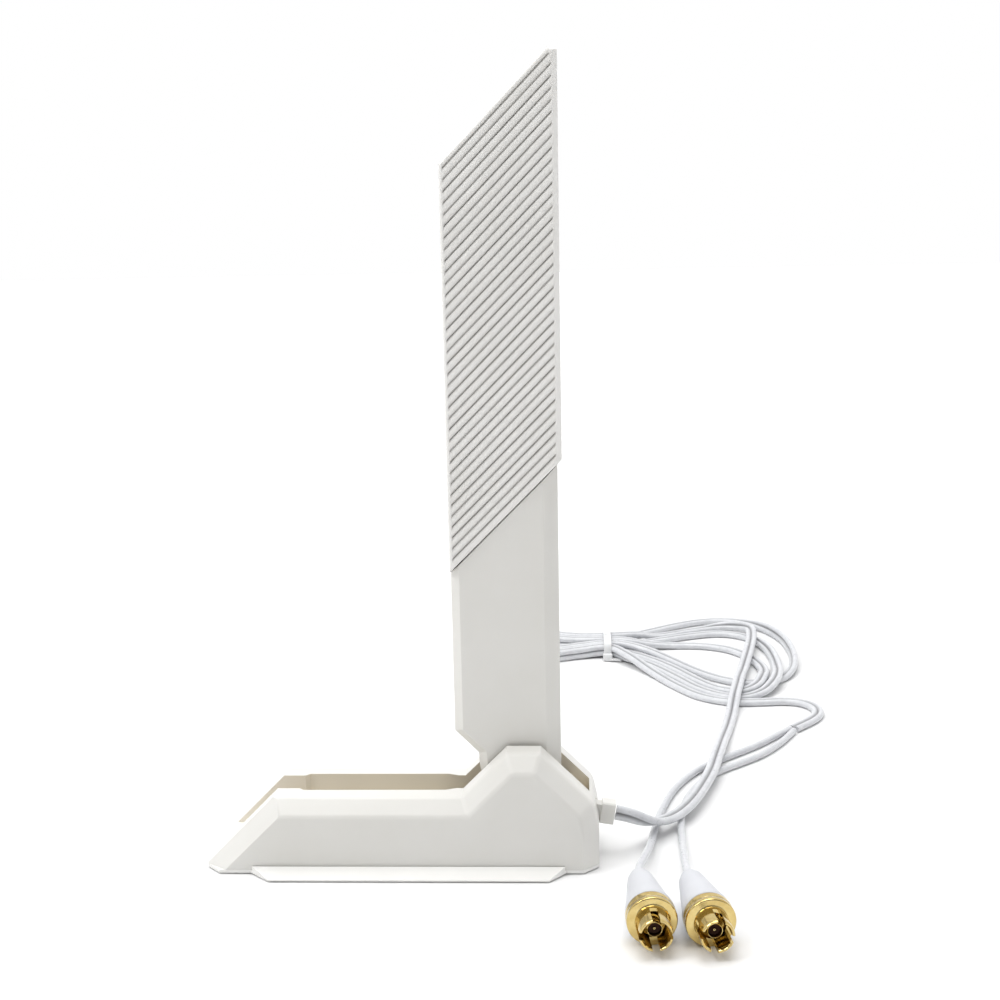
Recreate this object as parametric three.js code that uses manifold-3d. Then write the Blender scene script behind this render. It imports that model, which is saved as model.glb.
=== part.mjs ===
// A desktop Wi-Fi antenna: a tall flat blade on a hinge in a low weighted base, with a twin coax lead.
// Millimetres, +Z up, +X towards the hinge and the lead, -Y is the front. The origin is the middle of
// the base's footprint on the desk.
import * as THREE from "three";
import { mergeGeometries, mergeVertices } from "three/addons/utils/BufferGeometryUtils.js";
import Module from "manifold-3d";

const wasm = await Module();
wasm.setup();

// ---------------------------------------------------------------- driving dimensions
const GAP = 0.3; // clearance between pieces that touch

const BASE_END = 52; // the base runs from -BASE_END at the nose to +BASE_END at the lead
const RIM_Z = 20; // top of the walls beside the trough
const HUMP_Z = 31.8; // top of the walls at the hinge
const HUMP_HALF = 4.45; // half the flat length on top of the hump
const NOSE_Z = 1.4; // height of the nose's upright edge
const END_Z = 18.1; // where the hump's far slope meets the end face
const END_LEAN = 1.35; // the end face leans in by this much at its top
const END_LEAN_Z = 12;
const RIM_HALF = 10.2; // half the width across the two rims
const CHAMFER = 4.05; // 45 degree chamfer from the rims to the side faces
const SIDE_HALF = RIM_HALF + CHAMFER;
const WALL = 2;
const SHELL_BOTTOM = 1.3;

const TROUGH_HALF = 4.45;
const TROUGH_FLOOR = 6.5;
const TROUGH_WALL = 1.75;
const TROUGH_END = 44.6;
const DECK_SINK = 3.4; // how far the deck behind the hinge lies below the slope
const RECESS = 1.15; // the trough is this much wider on each side along its middle
const RECESS_X = [-28, -26.4, 11.6, 15.6];

const FOOT_HALF = 19.2; // half the width of the bottom cover's flared skirt
const FOOT_TOP = 2.1;
const FOOT_BOTTOM = 0.4;
const PLATE_TOP = 2.5;
const PAD_SIZE = [13, 5.4];
const PAD_PLACES = [-17, 26].flatMap((x) => [-10.4, 10.4].map((y) => [x, y]));
const SCREW_X = [-31, 40];
const SCREW_Y = 9.1;

const HINGE_X = 32.5;
const HINGE_Z = 26;
const PIN_RADIUS = 2;

const STEM_LEFT = 14.2;
const STEM_RIGHT = 42.2;
const STEM_HALF = 3.4; // half the stem's thickness
const STEM_BEVEL = 2.3;
const STEM_CUT = [STEM_LEFT, 35, 20.35, 28.8]; // the 45 degree cut under the stem's left edge
const KNUCKLE_LEFT = 12; // knuckle radius on the left of the hinge
const KNUCKLE_RIGHT = STEM_RIGHT - HINGE_X;

const COVER_LEFT = 14;
const COVER_RIGHT = 43.35;
const COVER_HALF = 3.9;
const COVER_EDGE = 0.8;
const COVER_LOW = 78.5; // height of the cover's lower left corner
const COVER_TOP_LEFT = 181.7;
const COVER_APEX_X = 40.9;
const COVER_WALL = 1;
const RIB_PITCH = 2.81; // measured straight up
const RIB_DEPTH = 0.5;
const RIB_WIDTH = 1.3;

const CORE = 2.1; // diameter of one coax core of the lead
const INNER_COAX = 1.2; // diameter of the thin coax inside the antenna

// ---------------------------------------------------------------- materials
const finish = (color, roughness, metalness = 0) =>
  new THREE.MeshStandardMaterial({ color, roughness, metalness });
const WHITE_PLASTIC = finish(0xe4e3dd, 0.5);
const WHITE_RUBBER = finish(0xe9ebf0, 0.6);
const WHITE_JACKET = finish(0xe8ecf1, 0.45);
const GOLD = finish(0xc9a04c, 0.25, 1);
const STEEL = finish(0x9a9c9e, 0.35, 1);
const DARK_INSULATOR = finish(0x2a211c, 0.5);
const GREY_RUBBER = finish(0x4a4c4f, 0.85);
const ACETAL = finish(0xd8d4c8, 0.4);
const BOARD_GREEN = finish(0x2f6b45, 0.55);

// ---------------------------------------------------------------- solids
function toSolid(geometry) {
  const bare = geometry.index ? geometry.toNonIndexed() : geometry.clone();
  bare.deleteAttribute("normal");
  bare.deleteAttribute("uv");
  const merged = mergeVertices(bare, 1e-4);
  const vertProperties = merged.attributes.position.array;
  const triVerts = new Uint32Array(merged.index.array);
  return new wasm.Manifold(new wasm.Mesh({ numProp: 3, vertProperties, triVerts }));
}

function toGeometry(solid) {
  const mesh = solid.getMesh();
  const geometry = new THREE.BufferGeometry();
  geometry.setAttribute("position", new THREE.BufferAttribute(mesh.vertProperties.slice(), 3));
  geometry.setIndex(new THREE.BufferAttribute(mesh.triVerts.slice(), 1));
  const flat = geometry.toNonIndexed();
  flat.computeVertexNormals();
  return flat;
}

const shapeOf = (points) => new THREE.Shape(points.map(([a, b]) => new THREE.Vector2(a, b)));

function boxGeometry(x0, x1, y0, y1, z0, z1) {
  const box = new THREE.BoxGeometry(x1 - x0, y1 - y0, z1 - z0);
  return box.translate((x0 + x1) / 2, (y0 + y1) / 2, (z0 + z1) / 2);
}
const box = (...sides) => toSolid(boxGeometry(...sides));

// An outline in X and Z, extruded from y0 to y1.
function prism(points, y0, y1) {
  const body = new THREE.ExtrudeGeometry(shapeOf(points), { depth: y1 - y0, bevelEnabled: false });
  return toSolid(body.rotateX(Math.PI / 2).translate(0, y1, 0));
}

// An outline in X and Z, full size for |y| < half and drawn in by the bevel at each side face.
function bevelPrism(points, half, bevel) {
  const body = new THREE.ExtrudeGeometry(shapeOf(points), {
    depth: 2 * half,
    bevelEnabled: true,
    bevelThickness: bevel,
    bevelSize: bevel,
    bevelOffset: -bevel,
    bevelSegments: 1,
  });
  return toSolid(body.rotateX(Math.PI / 2).translate(0, half, 0));
}

// An outline in X and Y, extruded from z0 to z1.
function slab(points, z0, z1) {
  const body = new THREE.ExtrudeGeometry(shapeOf(points), { depth: z1 - z0, bevelEnabled: false });
  return toSolid(body.translate(0, 0, z0));
}

// A round bar along Y through (x, z).
function barY(radius, x, z, y0, y1, sides = 32) {
  const bar = new THREE.CylinderGeometry(radius, radius, y1 - y0, sides);
  return toSolid(bar.translate(x, (y0 + y1) / 2, z));
}

// A round bar along Z through (x, y).
function barZ(radius, x, y, z0, z1, sides = 20) {
  const bar = new THREE.CylinderGeometry(radius, radius, z1 - z0, sides);
  return toSolid(bar.rotateX(Math.PI / 2).translate(x, y, (z0 + z1) / 2));
}

// A turned piece about +Y from a profile of [radius, distance along the axis]. The profile closes
// on itself, or starts and ends on the axis.
function turned(profile, sides = 28) {
  const closed = profile[0][0] === 0 ? profile : [...profile, profile[0]];
  return new THREE.LatheGeometry(closed.map(([r, t]) => new THREE.Vector2(r, t)), sides);
}

// Moves every edge of a closed, counter-clockwise outline inwards by the same distance.
function inset(points, distance) {
  const count = points.length;
  const lines = points.map(([x, z], i) => {
    const [nx, nz] = points[(i + 1) % count];
    const length = Math.hypot(nx - x, nz - z);
    const normal = [-(nz - z) / length, (nx - x) / length];
    return [...normal, normal[0] * x + normal[1] * z + distance];
  });
  return lines.map(([a, b, c], i) => {
    const [d, e, f] = lines[(i + count - 1) % count];
    const det = a * e - b * d;
    return [(c * e - b * f) / det, (a * f - c * d) / det];
  });
}

// ---------------------------------------------------------------- the scene graph
const antenna = new THREE.Group();
antenna.name = "desktop_antenna";

function add(name, shape, material, parent = antenna) {
  const geometry = shape instanceof wasm.Manifold ? toGeometry(shape) : shape;
  const mesh = new THREE.Mesh(geometry, material);
  mesh.name = name;
  parent.add(mesh);
  return mesh;
}

// ---------------------------------------------------------------- base
const noseRun = RIM_Z - NOSE_Z;
const humpRun = HUMP_Z - RIM_Z;
const humpLeft = HINGE_X - HUMP_HALF;
const humpRight = HINGE_X + HUMP_HALF;
const UNDER = -8; // the outline goes below the desk so that its bottom edge takes no bevel
const profile = [
  [-BASE_END, UNDER],
  [BASE_END, UNDER],
  [BASE_END, END_LEAN_Z],
  [BASE_END - END_LEAN, END_Z],
  [humpRight, HUMP_Z],
  [humpLeft, HUMP_Z],
  [humpLeft - humpRun, RIM_Z],
  [-BASE_END + noseRun, RIM_Z],
  [-BASE_END, NOSE_Z],
];
const below = (z) => box(-90, 90, -40, 40, -60, z);

function recessOutline(extra) {
  const [a, b, c, d] = RECESS_X;
  const narrow = TROUGH_HALF - 0.5;
  const wide = TROUGH_HALF + RECESS + extra;
  const upper = [
    [d, narrow],
    [c, wide],
    [b, wide],
    [a, narrow],
  ];
  return [...upper, ...upper.map(([x, y]) => [x, -y]).reverse()];
}

// The space over the sunk deck between the hinge and the end wall, widened all round by `wall`.
function sunkDeck(wall) {
  const level = humpRight + HUMP_Z - DECK_SINK - wall; // x + z on the deck
  const left = TROUGH_END - 1;
  const right = BASE_END - 2.4 + wall;
  const outline = [
    [left, level - left],
    [right, level - right],
    [right, 40],
    [left, 40],
  ];
  return prism(outline, -TROUGH_HALF - wall, TROUGH_HALF + wall);
}

function baseShell() {
  const innerRim = RIM_HALF - WALL * (Math.SQRT2 - 1);
  const core = box(-80, TROUGH_END + 1.4, -TROUGH_HALF - TROUGH_WALL, TROUGH_HALF + TROUGH_WALL, 5, 60);
  const wideCore = slab(recessOutline(TROUGH_WALL), 5, 60);
  const hollow = bevelPrism(inset(profile, WALL), innerRim, SIDE_HALF - WALL - innerRim)
    .subtract(core)
    .subtract(wideCore)
    .subtract(sunkDeck(1.2));
  let shell = bevelPrism(profile, RIM_HALF, CHAMFER).subtract(below(SHELL_BOTTOM)).subtract(hollow);
  for (const x of SCREW_X)
    for (const side of [-1, 1]) {
      shell = shell.add(barZ(3, x, side * SCREW_Y, PLATE_TOP + GAP, 10));
      shell = shell.subtract(barZ(1.1 + GAP, x, side * SCREW_Y, 1, 9.2));
    }
  const trough = box(-80, TROUGH_END, -TROUGH_HALF, TROUGH_HALF, TROUGH_FLOOR, 60);
  const recess = slab(recessOutline(0), TROUGH_FLOOR, 60);
  const bore = barY(3 + GAP, HINGE_X, HINGE_Z, -SIDE_HALF + WALL, SIDE_HALF - WALL);
  const leadHole = box(BASE_END - 4, BASE_END + 2, -2, 2, 8.9, 15.1);
  return shell.subtract(trough).subtract(recess).subtract(sunkDeck(0)).subtract(bore).subtract(leadHole);
}

// The plan of the shell's walls where they meet the bottom cover.
const planCorner = BASE_END - CHAMFER;
const footprint = [
  [-BASE_END, -RIM_HALF],
  [-planCorner, -SIDE_HALF],
  [planCorner, -SIDE_HALF],
  [BASE_END, -RIM_HALF],
  [BASE_END, RIM_HALF],
  [planCorner, SIDE_HALF],
  [-planCorner, SIDE_HALF],
  [-BASE_END, RIM_HALF],
];
const skirtPlan = [
  [-39.6, -SIDE_HALF + 1],
  [-39.6, -SIDE_HALF],
  [-34.2, -FOOT_HALF],
  [39, -FOOT_HALF],
  [43.3, -SIDE_HALF],
  [43.3, -SIDE_HALF + 1],
];

function skirt() {
  // The skirt's section in Y and Z, run along X and then trimmed to its plan.
  const toe = 0.35;
  const section = shapeOf([
    [-FOOT_HALF, FOOT_BOTTOM],
    [-SIDE_HALF + 1, FOOT_BOTTOM],
    [-SIDE_HALF + 1, SHELL_BOTTOM - GAP],
    [-SIDE_HALF - GAP, SHELL_BOTTOM - GAP],
    [-SIDE_HALF - GAP, FOOT_TOP],
    [-FOOT_HALF, FOOT_BOTTOM + toe],
  ]);
  const run = new THREE.ExtrudeGeometry(section, { depth: 100, bevelEnabled: false });
  run.rotateX(Math.PI / 2).rotateZ(Math.PI / 2);
  return toSolid(run.translate(-50, 0, 0)).intersect(slab(skirtPlan, 0, 5));
}

function bottomCover() {
  const front = skirt();
  let cover = slab(footprint, FOOT_BOTTOM, SHELL_BOTTOM - GAP)
    .add(slab(inset(footprint, WALL + GAP), FOOT_BOTTOM, PLATE_TOP).intersect(box(-44, 90, -40, 40, 0, 9)))
    .add(front)
    .add(front.mirror([0, 1, 0]));
  for (const x of SCREW_X)
    for (const side of [-1, 1]) {
      cover = cover.subtract(barZ(1.1 + GAP, x, side * SCREW_Y, 0, 5));
      cover = cover.subtract(barZ(2.4 + GAP, x, side * SCREW_Y, 0, 1.75));
    }
  for (const [x, y] of PAD_PLACES) cover = cover.subtract(padBox(x, y, GAP, 1.3));
  return cover;
}

function padBox(x, y, extra, top) {
  const [a, b] = [PAD_SIZE[0] / 2 + extra, PAD_SIZE[1] / 2 + extra];
  return box(x - a, x + a, y - b, y + b, 0, top);
}

add("base_shell", baseShell(), WHITE_PLASTIC);
add("bottom_cover", bottomCover(), WHITE_PLASTIC);
PAD_PLACES.forEach(([x, y], i) => add(`rubber_pad_${i + 1}`, padBox(x, y, 0, 1), GREY_RUBBER));

const screws = SCREW_X.flatMap((x) => [-1, 1].map((side) => [x, side * SCREW_Y]));
screws.forEach(([x, y], i) => {
  const screw = barZ(2.4, x, y, 0.6, 1.45).add(barZ(1.1, x, y, 1.4, 8.6));
  add(`base_screw_${i + 1}`, screw, STEEL);
});

add("ballast_plate", box(-27, 36, -5.6, 5.6, PLATE_TOP + GAP, 5 - GAP), STEEL);
for (const [name, side] of [["front", -1], ["rear", 1]]) {
  const bar = box(-25, 27, -2.05, 2.05, PLATE_TOP + GAP, 12);
  add(`ballast_bar_${name}`, bar.translate([0, side * 9.75, 0]), STEEL);
}

// ---------------------------------------------------------------- hinge
// Each side has a hollow pin that a thin coax passes through, a bush in the trough's wall, and a
// wave washer that gives the friction. Profiles are [radius, distance from the middle plane].
const bushProfile = [
  [PIN_RADIUS + GAP, TROUGH_HALF],
  [3, TROUGH_HALF],
  [3, 6.5],
  [3.6, 6.5],
  [3.6, 7.1],
  [PIN_RADIUS + GAP, 7.1],
];
const washerProfile = [
  [PIN_RADIUS + GAP, 7.4],
  [3.3, 7.4],
  [3.3, 7.8],
  [PIN_RADIUS + GAP, 7.8],
];
const pinProfile = [
  [1, 2.1],
  [PIN_RADIUS, 2.1],
  [PIN_RADIUS, 8.1],
  [3.2, 8.1],
  [3.2, 8.9],
  [1, 8.9],
];
for (const [name, side] of [["front", -1], ["rear", 1]]) {
  const turn = new THREE.Group();
  turn.position.set(HINGE_X, 0, HINGE_Z);
  turn.rotation.z = side < 0 ? Math.PI : 0;
  antenna.add(turn);
  add(`hinge_bush_${name}`, turned(bushProfile), ACETAL, turn);
  add(`wave_washer_${name}`, turned(washerProfile), STEEL, turn);
  add(`hinge_pin_${name}`, turned(pinProfile), STEEL, turn);
}

// ---------------------------------------------------------------- blade
const coverWidth = COVER_RIGHT - COVER_LEFT;
const coverOutline = [
  [COVER_LEFT, COVER_LOW],
  [COVER_RIGHT - 1.2, COVER_LOW + coverWidth - 1.2],
  [COVER_RIGHT, COVER_LOW + coverWidth + 0.6],
  [COVER_RIGHT, COVER_TOP_LEFT + COVER_APEX_X - COVER_LEFT - 0.7],
  [COVER_APEX_X, COVER_TOP_LEFT + COVER_APEX_X - COVER_LEFT],
  [COVER_LEFT, COVER_TOP_LEFT],
];

// The same outline with sharp corners, from which the hollow inside is drawn in.
const coverBlank = [
  [COVER_LEFT, COVER_LOW],
  [COVER_RIGHT, COVER_LOW + coverWidth],
  [COVER_RIGHT, COVER_TOP_LEFT + COVER_APEX_X - COVER_LEFT],
  [COVER_APEX_X, COVER_TOP_LEFT + COVER_APEX_X - COVER_LEFT],
  [COVER_LEFT, COVER_TOP_LEFT],
];

// Everything above the 45 degree line through (COVER_LEFT, z).
function above(z) {
  return prism(
    [
      [-20, z - 20 - COVER_LEFT],
      [80, z + 80 - COVER_LEFT],
      [80, 400],
      [-20, 400],
    ],
    -20,
    20,
  );
}

// The bar of the section's right-hand side: flat faces out to `flat`, then sloping to a thin edge.
function rightWedge(flat, half, right, edge) {
  const section = [
    [-20, -half],
    [flat, -half],
    [right, -edge],
    [right, edge],
    [flat, half],
    [-20, half],
  ];
  return slab(section, -10, 300);
}

function knuckle() {
  const points = [];
  const steps = 20;
  for (let i = 0; i <= steps; i++) {
    const turn = Math.PI * (1 + i / steps);
    const radius = KNUCKLE_LEFT + ((KNUCKLE_RIGHT - KNUCKLE_LEFT) * i) / steps;
    points.push([HINGE_X + radius * Math.cos(turn), HINGE_Z + radius * Math.sin(turn)]);
  }
  return points;
}

const [cutLeft, cutTop, cutRight, cutLow] = STEM_CUT;
const stemOutline = [
  ...knuckle(),
  [STEM_RIGHT, 140],
  [STEM_LEFT, 140],
  [cutLeft, cutTop],
  [cutRight, cutLow],
];
const stemInside = inset(stemOutline, 1.6);
const STEM_WALL = 1.3;

function stemHalf(side) {
  const y0 = side < 0 ? -20 : GAP / 2;
  const halfSpace = box(-20, 90, y0, y0 + 20 - GAP / 2, -10, 300);
  const shoulder = above(COVER_LOW - 0.45);
  const outer = bevelPrism(stemOutline, STEM_HALF - STEM_BEVEL, STEM_BEVEL);
  const body = outer.intersect(rightWedge(38.5, STEM_HALF, STEM_RIGHT, 1.1)).subtract(shoulder);
  // A thinner tongue goes up inside the cover.
  const tongue = prism(inset(stemOutline, 3.2), -2.5, 2.5).subtract(above(COVER_LOW + 12));
  const hollow = prism(stemInside, -STEM_HALF + STEM_WALL, STEM_HALF - STEM_WALL);
  const inner = hollow.subtract(above(COVER_LOW - 4));
  const channel = prism(inset(stemOutline, 5), -1.3, 1.3);
  const bore = barY(PIN_RADIUS + GAP, HINGE_X, HINGE_Z, -10, 10);
  return body.add(tongue).subtract(inner).subtract(channel).subtract(bore).intersect(halfSpace);
}

// Grooves at 45 degrees across both faces of the cover, between its margins.
function ribGrooves() {
  const across = RIB_WIDTH / 2;
  const proud = 0.2;
  const count = Math.floor((COVER_TOP_LEFT - COVER_LOW - 2) / RIB_PITCH);
  const grooves = [];
  for (let i = 1; i <= count; i++)
    for (const side of [-1, 1]) {
      const valley = shapeOf([
        [-across, side * (COVER_HALF + proud)],
        [0, side * (COVER_HALF - RIB_DEPTH)],
        [across, side * (COVER_HALF + proud)],
      ]);
      const groove = new THREE.ExtrudeGeometry(valley, { depth: 60, bevelEnabled: false });
      groove.rotateY(Math.PI / 4).translate(COVER_LEFT - 5, 0, COVER_LOW - 5 + i * RIB_PITCH);
      grooves.push(groove);
    }
  return toSolid(mergeGeometries(grooves)).intersect(box(14.8, 42, -10, 10, 0, 300));
}

function coverHalf(side) {
  const y0 = side < 0 ? -20 : GAP / 2;
  const halfSpace = box(-20, 90, y0, y0 + 20 - GAP / 2, -10, 300);
  const outer = bevelPrism(coverOutline, COVER_HALF - COVER_EDGE, COVER_EDGE);
  const cavity = prism(inset(coverBlank, COVER_WALL), -COVER_HALF + COVER_WALL, COVER_HALF - COVER_WALL);
  const mouth = prism(inset(coverBlank, 1.6), -2.9, 2.9).translate([0, 0, -4]);
  return outer
    .intersect(rightWedge(42.1, COVER_HALF, COVER_RIGHT, 3))
    .subtract(cavity)
    .subtract(mouth)
    .subtract(grooves)
    .intersect(halfSpace);
}

const grooves = ribGrooves();
for (const [name, side] of [["front", -1], ["rear", 1]]) {
  add(`stem_shell_${name}`, stemHalf(side), WHITE_PLASTIC);
  add(`ribbed_cover_${name}`, coverHalf(side), WHITE_PLASTIC);
}
add("antenna_board_lower", box(18.5, 38.5, -0.4, 0.4, 119, 150), BOARD_GREEN);
add("antenna_board_upper", box(18.5, 38.5, -0.4, 0.4, 153, 180), BOARD_GREEN);

// ---------------------------------------------------------------- cords and coax
const vectors = (points) => points.map((p) => new THREE.Vector3(...p));

// A tube along a smooth curve through the points. A flat lead is `across` wide on the section's
// first axis and `along` on its second, whichever of them lies level on that curve.
function tube(points, across, steps, along = across) {
  const sides = 8;
  const section = [];
  for (let i = 0; i < sides; i++) {
    const turn = (2 * Math.PI * (i + 0.5)) / sides;
    section.push([(across / 2) * Math.cos(turn), (along / 2) * Math.sin(turn)]);
  }
  const extrudePath = new THREE.CatmullRomCurve3(vectors(points));
  return new THREE.ExtrudeGeometry(shapeOf(section), { steps, extrudePath, bevelEnabled: false });
}

for (const [name, side] of [["front", -1], ["rear", 1]]) {
  const exitZ = 12 - side;
  const inBase = [
    [47, side * 0.8, exitZ],
    [46.8, side * 5, exitZ + 0.4],
    [46, side * 8.6, 14.6],
    [41, side * 10.4, 19],
    [35.5, side * 11.2, 24],
    [33, side * 11, 25.9],
    [HINGE_X, side * 9.3, HINGE_Z],
  ];
  const inBlade = [
    [HINGE_X, side * 8.7, HINGE_Z],
    [HINGE_X, side * 4.5, HINGE_Z],
    [HINGE_X, side * 2.6, HINGE_Z],
    [HINGE_X, side * 1.8, HINGE_Z + 0.1],
    [HINGE_X + side * 0.2, side * 0.9, HINGE_Z + 1.4],
    [HINGE_X + side, side * 0.75, 31],
    [HINGE_X + side * 1.4, side * 0.75, 45],
    [28 + side * 4, side * 0.3, 90],
    [28 + side * 4, 0, 118.5],
  ];
  add(`coax_in_base_${name}`, tube(inBase, INNER_COAX, 16), WHITE_JACKET);
  add(`coax_in_blade_${name}`, tube(inBlade, INNER_COAX, 48), WHITE_JACKET);
}

// The moulded strain relief tips down a little where the lead leaves the end face.
const RELIEF_TILT = 0.16;
const EXIT_Z = 12;
const relief = new THREE.Group();
relief.position.set(BASE_END, 0, EXIT_Z);
relief.rotation.y = RELIEF_TILT;
antenna.add(relief);
const nozzle = new THREE.Shape([
  [-1.7, -3],
  [1.7, -3],
  [2.1, -2.6],
  [2.1, 2.6],
  [1.7, 3],
  [-1.7, 3],
  [-2.1, 2.6],
  [-2.1, -2.6],
].map(([a, b]) => new THREE.Vector2(b, a)));
const nozzleBody = new THREE.ExtrudeGeometry(nozzle, { depth: 3.7, bevelEnabled: false });
nozzleBody.rotateY(Math.PI / 2).translate(0.65, 0, 0);
const neck = boxGeometry(-3.8, 1, -1.6, 1.6, -2.3, 2.2);
const flange = boxGeometry(-3.9, -3.2, -3.4, 3.4, -3.2, 2.3);
const reliefSolid = toSolid(nozzleBody).add(toSolid(neck)).add(toSolid(flange));
add("strain_relief", reliefSolid, WHITE_PLASTIC, relief);

// The lead runs back from the strain relief, over the two split cores, to the tied hank.
const leadToHank = [
  [56.7, 0, 11.2],
  [59.9, 0.1, 10.5],
  [63, 2.1, 8.5],
  [66.1, 5.9, 6],
  [69, 9.8, 4.3],
  [72.7, 14.3, 3.6],
  [75.9, 19.2, 3.5],
  [79.6, 27, 3.5],
  [83.6, 38.5, 3.4],
  [86.8, 49, 3.5],
  [89.1, 59.5, 3.5],
  [91.3, 69.5, 3.4],
  [93.4, 80.5, 2.1],
  [95.9, 92, 1.3],
  [98.6, 105, 1.8],
  [99.8, 111, 3.2],
];
const leadFromHank = [
  [115, 117.4, 1.1],
  [118.2, 117.5, 1.1],
  [121.6, 116.8, 1.1],
  [124.9, 114.6, 1.1],
  [127.2, 111, 1.1],
  [127.7, 106.5, 1.1],
  [126.3, 102, 1.1],
  [123.4, 97.6, 1.1],
  [120.2, 93.9, 1.1],
  [117.2, 90.6, 1.1],
];
const coreLeft = [
  [116.1, 90.8, 1.1],
  [110.5, 84, 1.1],
  [104.4, 76.6, 1.1],
  [97.6, 69.8, 1.1],
  [91, 63.6, 1.1],
  [83.9, 56, 1.1],
  [77.2, 45, 1.1],
  [72.9, 34, 1.1],
  [70, 23, 1.1],
  [67.6, 10.5, 1.5],
  [65.4, -4, 2.9],
  [63.4, -14.5, 4.7],
  [62, -21.8, 5.9],
  [61.57, -27.2, 6.2],
];
const coreRight = [
  [117, 88.7, 1.1],
  [111, 77.5, 1.1],
  [103.6, 67.2, 1.1],
  [96, 60, 1.1],
  [89.5, 54, 1.1],
  [83.5, 45.5, 1.1],
  [79.2, 36, 1.1],
  [76.5, 26, 1.1],
  [75.2, 15, 1.2],
  [74.7, 4, 1.8],
  [74.2, -7, 3.1],
  [73.9, -16.5, 4.9],
  [73.85, -23, 6],
  [74.05, -27.9, 6.2],
];
add("lead_to_hank", tube(leadToHank, 2 * CORE, 36, CORE), WHITE_JACKET);
add("lead_from_hank", tube(leadFromHank, CORE, 16, 2 * CORE), WHITE_JACKET);
add("core_left", tube(coreLeft, CORE, 30), WHITE_JACKET);
add("core_right", tube(coreRight, CORE, 30), WHITE_JACKET);

// The hank is folded up behind the base, with a tie round its waist at TIE_X.
const TIE_X = 58.5;
const HANK_TOP = 6.6;
const hankOutline = [
  [4, 179],
  [7, 190],
  [17, 198],
  [30, 197.5],
  [44, 193.5],
  [TIE_X, 190],
  [74, 199],
  [88, 212],
  [105, 219.5],
  [120, 214],
  [129.5, 195],
  [131, 170],
  [127.5, 148],
  [122.6, 132],
  [114, 119.5],
  [103, 115.2],
  [90, 119],
  [80, 132],
  [71, 151],
  [TIE_X, 168.5],
  [44, 164.5],
  [30, 160.5],
  [17, 160],
  [7, 168],
];
function hank() {
  const curve = new THREE.CatmullRomCurve3(vectors(hankOutline.map(([x, y]) => [x, y, 0])), true);
  const rim = curve.getPoints(72).slice(0, -1).map((p) => [p.x, p.y]);
  const waist = box(TIE_X - 2.6, TIE_X + 2.6, 150, 210, -1, HANK_TOP + 1);
  const kept = box(TIE_X - 2.6, TIE_X + 2.6, 168.8, 189.7, 1.1, HANK_TOP - 0.8);
  return slab(rim.reverse(), 0, HANK_TOP).subtract(waist.subtract(kept));
}
add("lead_hank", hank(), WHITE_JACKET);

const tieOuter = box(TIE_X - 2.2, TIE_X + 2.2, 167.6, 190.9, 0, HANK_TOP + 0.3);
const tieHead = box(TIE_X - 1.8, TIE_X + 2.2, 164.8, 168, 0, 3.4);
const tieInner = box(TIE_X - 5, TIE_X + 5, 168.5, 190, 0.8, HANK_TOP - 0.5);
add("cable_tie", tieOuter.add(tieHead).subtract(tieInner), WHITE_RUBBER);

// ---------------------------------------------------------------- connectors
// Turned about the connector's own axis: [radius, distance from the tail of the boot].
const BOOT_LENGTH = 20.4;
const FLANGE_THICK = 3.5;
const bootProfile = [
  [1.3, 0],
  [2.2, 0],
  [2.9, 0.7],
  [4.3, 10],
  [6.2, BOOT_LENGTH],
  [3.2, BOOT_LENGTH],
  [2.6, 8],
  [1.3, 6],
];
const ferruleProfile = [
  [1.3, 7.5],
  [2.1, 7.5],
  [2.1, 16],
  [2.7, 16.4],
  [2.7, BOOT_LENGTH],
  [1.3, BOOT_LENGTH],
];
const FLANGE_BACK = BOOT_LENGTH + GAP;
const FLANGE_FRONT = FLANGE_BACK + FLANGE_THICK;
const SLEEVE_FRONT = 31.3;
const sleeveProfile = [
  [2.2, FLANGE_BACK],
  [6.1, FLANGE_BACK],
  [6.1, FLANGE_FRONT],
  [4.1, FLANGE_FRONT],
  [4.1, SLEEVE_FRONT],
  [3.3, SLEEVE_FRONT],
  [3.3, FLANGE_FRONT],
  [2.2, FLANGE_BACK + 0.9],
];
const innerTubeProfile = [
  [1.55, FLANGE_BACK + 1],
  [1.85, FLANGE_BACK + 1],
  [1.85, 28.1],
  [1.55, 28.1],
];
const insulatorProfile = [
  [0.55, FLANGE_BACK + 0.5],
  [1.25, FLANGE_BACK + 0.5],
  [1.25, 27.5],
  [0.55, 27.5],
];
const contactProfile = [
  [0, FLANGE_BACK + 0.2],
  [0.25, FLANGE_BACK + 0.2],
  [0.25, 27.7],
  [0, 27.7],
];

const SLOT_HALF = 0.9;
const SLOT_FROM = FLANGE_FRONT + 1.2;

function slottedSleeve() {
  const levelSlot = box(-8, 8, SLOT_FROM, 40, -SLOT_HALF, SLOT_HALF);
  const uprightSlot = box(-SLOT_HALF, SLOT_HALF, SLOT_FROM, 40, -8, 8);
  return toSolid(turned(sleeveProfile, 32)).subtract(levelSlot.add(uprightSlot));
}

const FLANGE_RADIUS = 6.2;
const connectors = [
  ["left", [61.6, -27.57], -0.086],
  ["right", [74.1, -28.26], -0.136],
];
for (const [name, [x, y], swing] of connectors) {
  const plug = new THREE.Group();
  plug.position.set(x, y, FLANGE_RADIUS);
  plug.rotation.z = Math.PI - swing;
  antenna.add(plug);
  add(`boot_${name}`, turned(bootProfile, 24), WHITE_RUBBER, plug);
  add(`crimp_ferrule_${name}`, turned(ferruleProfile, 20), GOLD, plug);
  add(`coupling_sleeve_${name}`, slottedSleeve(), GOLD, plug);
  add(`inner_tube_${name}`, turned(innerTubeProfile, 24), GOLD, plug);
  add(`insulator_${name}`, turned(insulatorProfile, 20), DARK_INSULATOR, plug);
  add(`contact_${name}`, turned(contactProfile, 12), GOLD, plug);
}

export default antenna;
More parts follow.
